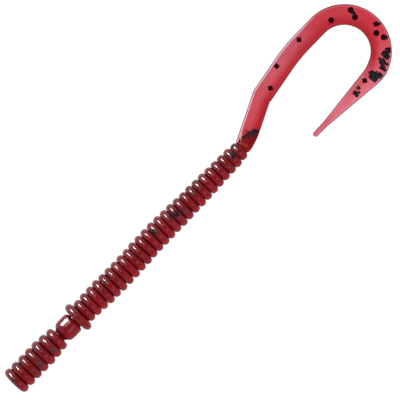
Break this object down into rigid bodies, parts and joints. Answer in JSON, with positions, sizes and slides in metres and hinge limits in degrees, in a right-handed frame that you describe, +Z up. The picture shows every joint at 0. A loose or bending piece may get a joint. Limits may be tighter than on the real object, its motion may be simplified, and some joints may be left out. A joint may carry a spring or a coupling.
{
  "type": "soft plastic fishing worm",
  "caption": "Ring-ribbed soft plastic fishing worm with a smooth egg sac, a raised collar and a flat hooked ribbon tail with glitter flakes.",
  "frame": {"origin": "middle of the bounding box in plan, on the underside that the worm lies on", "axes": "+X along the body from the nose to the tail, +Z up from the table, and the tail leaves the body towards +Y"},
  "size_m": [0.129, 0.0236, 0.0083],
  "materials": {
    "body_plastic": "gloss",
    "sac_plastic": "gloss",
    "ribbon_plastic": "gloss",
    "glitter_film": "gloss"
  },
  "bodies": {
    "head_ring_01": {"head_ring_01": "body_plastic"},
    "head_ring_02": {"head_ring_02": "body_plastic"},
    "head_ring_03": {"head_ring_03": "body_plastic"},
    "head_ring_04": {"head_ring_04": "body_plastic"},
    "head_ring_05": {"head_ring_05": "body_plastic"},
    "head_ring_06": {"head_ring_06": "body_plastic"},
    "head_ring_07": {"head_ring_07": "body_plastic"},
    "egg_sac": {"egg_sac": "sac_plastic"},
    "collar_ring": {"collar_ring": "body_plastic"},
    "body_ring_01": {"body_ring_01": "body_plastic"},
    "body_ring_02": {"body_ring_02": "body_plastic"},
    "body_ring_03": {"body_ring_03": "body_plastic"},
    "body_ring_04": {"body_ring_04": "body_plastic"},
    "body_ring_05": {"body_ring_05": "body_plastic"},
    "body_ring_06": {"body_ring_06": "body_plastic"},
    "body_ring_07": {"body_ring_07": "body_plastic"},
    "body_ring_08": {"body_ring_08": "body_plastic"},
    "body_ring_09": {"body_ring_09": "body_plastic"},
    "body_ring_10": {"body_ring_10": "body_plastic"},
    "body_ring_11": {"body_ring_11": "body_plastic"},
    "body_ring_12": {"body_ring_12": "body_plastic"},
    "body_ring_13": {"body_ring_13": "body_plastic"},
    "body_ring_14": {"body_ring_14": "body_plastic"},
    "body_ring_15": {"body_ring_15": "body_plastic"},
    "body_ring_16": {"body_ring_16": "body_plastic"},
    "body_ring_17": {"body_ring_17": "body_plastic"},
    "body_ring_18": {"body_ring_18": "body_plastic"},
    "body_ring_19": {"body_ring_19": "body_plastic"},
    "body_ring_20": {"body_ring_20": "body_plastic"},
    "body_ring_21": {"body_ring_21": "body_plastic"},
    "body_ring_22": {"body_ring_22": "body_plastic"},
    "body_ring_23": {"body_ring_23": "body_plastic"},
    "body_ring_24": {"body_ring_24": "body_plastic"},
    "body_ring_25": {"body_ring_25": "body_plastic"},
    "body_ring_26": {"body_ring_26": "body_plastic"},
    "tail_root": {"tail_root": "body_plastic"},
    "ribbon_01": {"ribbon_01": "ribbon_plastic"},
    "ribbon_02": {"ribbon_02": "ribbon_plastic", "flake_01": "glitter_film"},
    "ribbon_03": {"ribbon_03": "ribbon_plastic", "flake_02": "glitter_film"},
    "ribbon_04": {"ribbon_04": "ribbon_plastic", "flake_03": "glitter_film"},
    "ribbon_05": {"ribbon_05": "ribbon_plastic", "flake_04": "glitter_film"},
    "ribbon_06": {"ribbon_06": "ribbon_plastic", "flake_05": "glitter_film", "flake_06": "glitter_film"},
    "ribbon_07": {"ribbon_07": "ribbon_plastic", "flake_07": "glitter_film", "flake_08": "glitter_film", "flake_09": "glitter_film"},
    "ribbon_08": {"ribbon_08": "ribbon_plastic", "flake_10": "glitter_film"},
    "ribbon_09": {"ribbon_09": "ribbon_plastic", "flake_11": "glitter_film", "flake_12": "glitter_film"},
    "ribbon_10": {"ribbon_10": "ribbon_plastic"},
    "ribbon_11": {"ribbon_11": "ribbon_plastic"},
    "ribbon_12": {"ribbon_12": "ribbon_plastic"}
  },
  "joints": [
    {"name": "head_side_bend", "type": "hinge", "parent": "egg_sac", "child": "head_ring_07", "pos_m": [-0.04783, 0.0014, 0.00401], "axis": [0, 0, 1], "range_deg": [-8, 8], "stiffness_Nm_per_rad": 0.0006},
    {"name": "head_lift_bend", "type": "hinge", "parent": "head_ring_07", "child": "head_ring_06", "pos_m": [-0.05008, 0.0014, 0.00395], "axis": [0, 1, 0], "range_deg": [-8, 8], "stiffness_Nm_per_rad": 0.0006},
    {"name": "head_side_bend_2", "type": "hinge", "parent": "head_ring_06", "child": "head_ring_05", "pos_m": [-0.05247, 0.0014, 0.00389], "axis": [0, 0, 1], "range_deg": [-8, 8], "stiffness_Nm_per_rad": 0.0006},
    {"name": "head_lift_bend_2", "type": "hinge", "parent": "head_ring_05", "child": "head_ring_04", "pos_m": [-0.05486, 0.0014, 0.00383], "axis": [0, 1, 0], "range_deg": [-8, 8], "stiffness_Nm_per_rad": 0.0006},
    {"name": "head_side_bend_3", "type": "hinge", "parent": "head_ring_04", "child": "head_ring_03", "pos_m": [-0.05725, 0.0014, 0.00377], "axis": [0, 0, 1], "range_deg": [-8, 8], "stiffness_Nm_per_rad": 0.0006},
    {"name": "head_lift_bend_3", "type": "hinge", "parent": "head_ring_03", "child": "head_ring_02", "pos_m": [-0.05964, 0.0014, 0.00371], "axis": [0, 1, 0], "range_deg": [-8, 8], "stiffness_Nm_per_rad": 0.0006},
    {"name": "head_side_bend_4", "type": "hinge", "parent": "head_ring_02", "child": "head_ring_01", "pos_m": [-0.06203, 0.0014, 0.00365], "axis": [0, 0, 1], "range_deg": [-8, 8], "stiffness_Nm_per_rad": 0.0006},
    {"name": "front_side_bend", "type": "hinge", "parent": "egg_sac", "child": "collar_ring", "pos_m": [-0.04237, 0.0014, 0.00415], "axis": [0, 0, 1], "range_deg": [-8, 8], "stiffness_Nm_per_rad": 0.0006},
    {"name": "front_lift_bend", "type": "hinge", "parent": "collar_ring", "child": "body_ring_01", "pos_m": [-0.04003, 0.0014, 0.00415], "axis": [0, -1, 0], "range_deg": [-8, 8], "stiffness_Nm_per_rad": 0.0006},
    {"name": "front_side_bend_2", "type": "hinge", "parent": "body_ring_01", "child": "body_ring_02", "pos_m": [-0.03782, 0.0014, 0.0041], "axis": [0, 0, 1], "range_deg": [-8, 8], "stiffness_Nm_per_rad": 0.0006},
    {"name": "front_lift_bend_2", "type": "hinge", "parent": "body_ring_02", "child": "body_ring_03", "pos_m": [-0.03562, 0.00138, 0.00405], "axis": [0, -1, 0], "range_deg": [-8, 8], "stiffness_Nm_per_rad": 0.0006},
    {"name": "front_side_bend_3", "type": "hinge", "parent": "body_ring_03", "child": "body_ring_04", "pos_m": [-0.03341, 0.00133, 0.00399], "axis": [0, 0, 1], "range_deg": [-8, 8], "stiffness_Nm_per_rad": 0.0006},
    {"name": "front_lift_bend_3", "type": "hinge", "parent": "body_ring_04", "child": "body_ring_05", "pos_m": [-0.0312, 0.00127, 0.00394], "axis": [0, -1, 0], "range_deg": [-8, 8], "stiffness_Nm_per_rad": 0.0006},
    {"name": "front_side_bend_4", "type": "hinge", "parent": "body_ring_05", "child": "body_ring_06", "pos_m": [-0.029, 0.00122, 0.00389], "axis": [0, 0, 1], "range_deg": [-8, 8], "stiffness_Nm_per_rad": 0.0006},
    {"name": "front_lift_bend_4", "type": "hinge", "parent": "body_ring_06", "child": "body_ring_07", "pos_m": [-0.02679, 0.0012, 0.00384], "axis": [0, -1, 0], "range_deg": [-8, 8], "stiffness_Nm_per_rad": 0.0006},
    {"name": "front_side_bend_5", "type": "hinge", "parent": "body_ring_07", "child": "body_ring_08", "pos_m": [-0.02458, 0.00122, 0.00379], "axis": [0, 0, 1], "range_deg": [-8, 8], "stiffness_Nm_per_rad": 0.0006},
    {"name": "front_lift_bend_5", "type": "hinge", "parent": "body_ring_08", "child": "body_ring_09", "pos_m": [-0.02237, 0.00128, 0.00373], "axis": [0, -1, 0], "range_deg": [-8, 8], "stiffness_Nm_per_rad": 0.0006},
    {"name": "front_side_bend_6", "type": "hinge", "parent": "body_ring_09", "child": "body_ring_10", "pos_m": [-0.02017, 0.00137, 0.00368], "axis": [0, 0, 1], "range_deg": [-8, 8], "stiffness_Nm_per_rad": 0.0006},
    {"name": "front_lift_bend_6", "type": "hinge", "parent": "body_ring_10", "child": "body_ring_11", "pos_m": [-0.01796, 0.00147, 0.00363], "axis": [0, -1, 0], "range_deg": [-8, 8], "stiffness_Nm_per_rad": 0.0006},
    {"name": "front_side_bend_7", "type": "hinge", "parent": "body_ring_11", "child": "body_ring_12", "pos_m": [-0.01575, 0.00155, 0.00358], "axis": [0, 0, 1], "range_deg": [-8, 8], "stiffness_Nm_per_rad": 0.0006},
    {"name": "front_lift_bend_7", "type": "hinge", "parent": "body_ring_12", "child": "body_ring_13", "pos_m": [-0.01355, 0.00159, 0.00352], "axis": [0, -1, 0], "range_deg": [-8, 8], "stiffness_Nm_per_rad": 0.0006},
    {"name": "rear_side_bend", "type": "hinge", "parent": "body_ring_13", "child": "body_ring_14", "pos_m": [-0.01134, 0.0016, 0.00347], "axis": [0, 0, -1], "range_deg": [-8, 8], "stiffness_Nm_per_rad": 0.0006},
    {"name": "rear_lift_bend", "type": "hinge", "parent": "body_ring_14", "child": "body_ring_15", "pos_m": [-0.00913, 0.00156, 0.00342], "axis": [0, 1, 0], "range_deg": [-8, 8], "stiffness_Nm_per_rad": 0.0006},
    {"name": "rear_side_bend_2", "type": "hinge", "parent": "body_ring_15", "child": "body_ring_16", "pos_m": [-0.00693, 0.00151, 0.00337], "axis": [0, 0, -1], "range_deg": [-8, 8], "stiffness_Nm_per_rad": 0.0006},
    {"name": "rear_lift_bend_2", "type": "hinge", "parent": "body_ring_16", "child": "body_ring_17", "pos_m": [-0.00472, 0.00145, 0.00332], "axis": [0, 1, 0], "range_deg": [-8, 8], "stiffness_Nm_per_rad": 0.0006},
    {"name": "rear_side_bend_3", "type": "hinge", "parent": "body_ring_17", "child": "body_ring_18", "pos_m": [-0.00251, 0.00141, 0.00327], "axis": [0, 0, -1], "range_deg": [-8, 8], "stiffness_Nm_per_rad": 0.0006},
    {"name": "rear_lift_bend_3", "type": "hinge", "parent": "body_ring_18", "child": "body_ring_19", "pos_m": [-0.0003, 0.0014, 0.00321], "axis": [0, 1, 0], "range_deg": [-8, 8], "stiffness_Nm_per_rad": 0.0006},
    {"name": "rear_side_bend_4", "type": "hinge", "parent": "body_ring_19", "child": "body_ring_20", "pos_m": [0.0019, 0.0014, 0.00316], "axis": [0, 0, -1], "range_deg": [-8, 8], "stiffness_Nm_per_rad": 0.0006},
    {"name": "rear_lift_bend_4", "type": "hinge", "parent": "body_ring_20", "child": "body_ring_21", "pos_m": [0.00411, 0.0014, 0.00311], "axis": [0, 1, 0], "range_deg": [-8, 8], "stiffness_Nm_per_rad": 0.0006},
    {"name": "rear_side_bend_5", "type": "hinge", "parent": "body_ring_21", "child": "body_ring_22", "pos_m": [0.00632, 0.0014, 0.00306], "axis": [0, 0, -1], "range_deg": [-8, 8], "stiffness_Nm_per_rad": 0.0006},
    {"name": "rear_lift_bend_5", "type": "hinge", "parent": "body_ring_22", "child": "body_ring_23", "pos_m": [0.00852, 0.0014, 0.003], "axis": [0, 1, 0], "range_deg": [-8, 8], "stiffness_Nm_per_rad": 0.0006},
    {"name": "rear_side_bend_6", "type": "hinge", "parent": "body_ring_23", "child": "body_ring_24", "pos_m": [0.01073, 0.0014, 0.00295], "axis": [0, 0, -1], "range_deg": [-8, 8], "stiffness_Nm_per_rad": 0.0006},
    {"name": "rear_lift_bend_6", "type": "hinge", "parent": "body_ring_24", "child": "body_ring_25", "pos_m": [0.01294, 0.0014, 0.0029], "axis": [0, 1, 0], "range_deg": [-8, 8], "stiffness_Nm_per_rad": 0.0006},
    {"name": "rear_side_bend_7", "type": "hinge", "parent": "body_ring_25", "child": "body_ring_26", "pos_m": [0.01514, 0.0014, 0.00285], "axis": [0, 0, -1], "range_deg": [-8, 8], "stiffness_Nm_per_rad": 0.0006},
    {"name": "rear_lift_bend_7", "type": "hinge", "parent": "body_ring_26", "child": "tail_root", "pos_m": [0.01735, 0.0014, 0.0028], "axis": [0, 1, 0], "range_deg": [-8, 8], "stiffness_Nm_per_rad": 0.0006},
    {"name": "tail_flutter", "type": "hinge", "parent": "tail_root", "child": "ribbon_01", "pos_m": [0.0216, 0.00288, 0.00238], "axis": [0.4274, -0.9041, 0], "range_deg": [-12, 12], "stiffness_Nm_per_rad": 0.00004},
    {"name": "tail_curl", "type": "hinge", "parent": "ribbon_01", "child": "ribbon_02", "pos_m": [0.0273, 0.00557, 0.00114], "axis": [0.0432, 0.0204, 0.9989], "range_deg": [-8, 8], "stiffness_Nm_per_rad": 0.0002},
    {"name": "tail_flutter_2", "type": "hinge", "parent": "ribbon_02", "child": "ribbon_03", "pos_m": [0.03563, 0.00783, 0.00074], "axis": [0.1685, -0.9857, 0], "range_deg": [-12, 12], "stiffness_Nm_per_rad": 0.00004},
    {"name": "tail_curl_2", "type": "hinge", "parent": "ribbon_03", "child": "ribbon_04", "pos_m": [0.04264, 0.00894, 0.00073], "axis": [0.0034, 0.0004, 1], "range_deg": [-8, 8], "stiffness_Nm_per_rad": 0.0002},
    {"name": "tail_flutter_3", "type": "hinge", "parent": "ribbon_04", "child": "ribbon_05", "pos_m": [0.05123, 0.00917, 0.00072], "axis": [-0.0335, -0.9994, 0], "range_deg": [-12, 12], "stiffness_Nm_per_rad": 0.00004},
    {"name": "tail_curl_3", "type": "hinge", "parent": "ribbon_05", "child": "ribbon_06", "pos_m": [0.05845, 0.0071, 0.0007], "axis": [0.0026, -0.0022, 1], "range_deg": [-8, 8], "stiffness_Nm_per_rad": 0.0002},
    {"name": "tail_flutter_4", "type": "hinge", "parent": "ribbon_06", "child": "ribbon_07", "pos_m": [0.06172, 0.00152, 0.00069], "axis": [-0.9849, -0.1732, 0], "range_deg": [-12, 12], "stiffness_Nm_per_rad": 0.00004},
    {"name": "tail_curl_4", "type": "hinge", "parent": "ribbon_07", "child": "ribbon_08", "pos_m": [0.05993, -0.00574, 0.00068], "axis": [-0.0034, -0.0044, 1], "range_deg": [-8, 8], "stiffness_Nm_per_rad": 0.0002},
    {"name": "tail_flutter_5", "type": "hinge", "parent": "ribbon_08", "child": "ribbon_09", "pos_m": [0.05512, -0.00898, 0.00063], "axis": [-0.2711, 0.9625, 0], "range_deg": [-12, 12], "stiffness_Nm_per_rad": 0.00004},
    {"name": "tail_curl_5", "type": "hinge", "parent": "ribbon_09", "child": "ribbon_10", "pos_m": [0.04885, -0.00933, 0.00058], "axis": [-0.0177, 0, 0.9998], "range_deg": [-8, 8], "stiffness_Nm_per_rad": 0.0002},
    {"name": "tail_flutter_6", "type": "hinge", "parent": "ribbon_10", "child": "ribbon_11", "pos_m": [0.04315, -0.00933, 0.00053], "axis": [0, 1, 0], "range_deg": [-12, 12], "stiffness_Nm_per_rad": 0.00004},
    {"name": "tail_curl_6", "type": "hinge", "parent": "ribbon_11", "child": "ribbon_12", "pos_m": [0.03755, -0.00933, 0.00048], "axis": [-0.0177, 0, 0.9998], "range_deg": [-8, 8], "stiffness_Nm_per_rad": 0.0002}
  ],
  "couplings": [
    {"joint": "head_side_bend_2", "follows": "head_side_bend", "ratio": 1},
    {"joint": "head_lift_bend_2", "follows": "head_lift_bend", "ratio": 1},
    {"joint": "head_side_bend_3", "follows": "head_side_bend", "ratio": 1},
    {"joint": "head_lift_bend_3", "follows": "head_lift_bend", "ratio": 1},
    {"joint": "head_side_bend_4", "follows": "head_side_bend", "ratio": 1},
    {"joint": "front_side_bend_2", "follows": "front_side_bend", "ratio": 1},
    {"joint": "front_lift_bend_2", "follows": "front_lift_bend", "ratio": 1},
    {"joint": "front_side_bend_3", "follows": "front_side_bend", "ratio": 1},
    {"joint": "front_lift_bend_3", "follows": "front_lift_bend", "ratio": 1},
    {"joint": "front_side_bend_4", "follows": "front_side_bend", "ratio": 1},
    {"joint": "front_lift_bend_4", "follows": "front_lift_bend", "ratio": 1},
    {"joint": "front_side_bend_5", "follows": "front_side_bend", "ratio": 1},
    {"joint": "front_lift_bend_5", "follows": "front_lift_bend", "ratio": 1},
    {"joint": "front_side_bend_6", "follows": "front_side_bend", "ratio": 1},
    {"joint": "front_lift_bend_6", "follows": "front_lift_bend", "ratio": 1},
    {"joint": "front_side_bend_7", "follows": "front_side_bend", "ratio": 1},
    {"joint": "front_lift_bend_7", "follows": "front_lift_bend", "ratio": 1},
    {"joint": "rear_side_bend_2", "follows": "rear_side_bend", "ratio": 1},
    {"joint": "rear_lift_bend_2", "follows": "rear_lift_bend", "ratio": 1},
    {"joint": "rear_side_bend_3", "follows": "rear_side_bend", "ratio": 1},
    {"joint": "rear_lift_bend_3", "follows": "rear_lift_bend", "ratio": 1},
    {"joint": "rear_side_bend_4", "follows": "rear_side_bend", "ratio": 1},
    {"joint": "rear_lift_bend_4", "follows": "rear_lift_bend", "ratio": 1},
    {"joint": "rear_side_bend_5", "follows": "rear_side_bend", "ratio": 1},
    {"joint": "rear_lift_bend_5", "follows": "rear_lift_bend", "ratio": 1},
    {"joint": "rear_side_bend_6", "follows": "rear_side_bend", "ratio": 1},
    {"joint": "rear_lift_bend_6", "follows": "rear_lift_bend", "ratio": 1},
    {"joint": "rear_side_bend_7", "follows": "rear_side_bend", "ratio": 1},
    {"joint": "rear_lift_bend_7", "follows": "rear_lift_bend", "ratio": 1},
    {"joint": "tail_flutter_2", "follows": "tail_flutter", "ratio": 1},
    {"joint": "tail_curl_2", "follows": "tail_curl", "ratio": 1},
    {"joint": "tail_flutter_3", "follows": "tail_flutter", "ratio": -1},
    {"joint": "tail_curl_3", "follows": "tail_curl", "ratio": 1},
    {"joint": "tail_flutter_4", "follows": "tail_flutter", "ratio": -1},
    {"joint": "tail_curl_4", "follows": "tail_curl", "ratio": 1},
    {"joint": "tail_flutter_5", "follows": "tail_flutter", "ratio": 1},
    {"joint": "tail_curl_5", "follows": "tail_curl", "ratio": 1},
    {"joint": "tail_flutter_6", "follows": "tail_flutter", "ratio": 1},
    {"joint": "tail_curl_6", "follows": "tail_curl", "ratio": 1}
  ]
}
